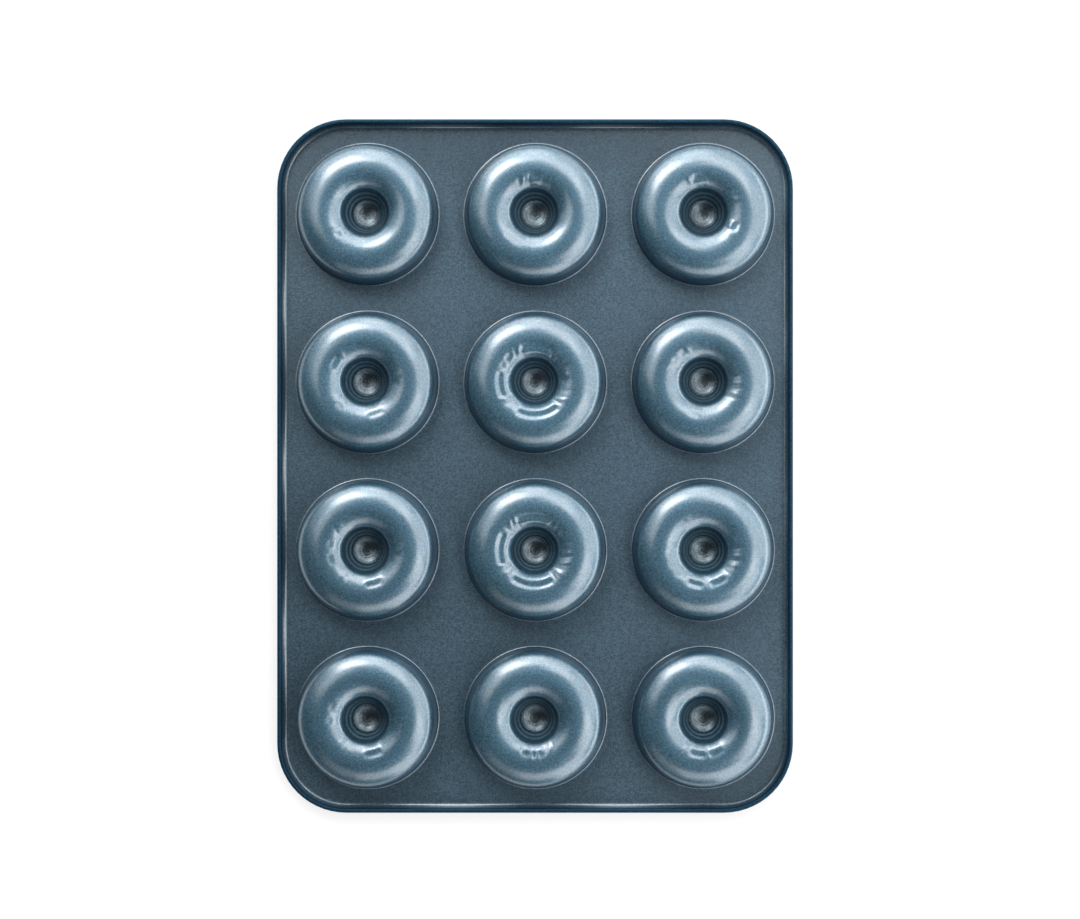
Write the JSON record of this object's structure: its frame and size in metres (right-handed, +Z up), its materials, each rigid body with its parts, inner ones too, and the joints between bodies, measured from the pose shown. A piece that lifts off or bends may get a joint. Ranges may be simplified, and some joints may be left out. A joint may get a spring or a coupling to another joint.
{
  "type": "doughnut pan",
  "caption": "Pressed steel doughnut pan with ring moulds in rows, hollow centre posts and a rolled rim, lying upside down on its flat face.",
  "frame": {"origin": "centre of the outline, on the flat face that rests on the table", "axes": "+X across the width, +Y along the length, +Z up through the rings as the picture shows them; half a turn about X gives the baking position"},
  "size_m": [0.28, 0.3764, 0.02],
  "materials": {
    "coating": "satin"
  },
  "bodies": {
    "root": {"pan": "coating"}
  },
  "joints": []
}
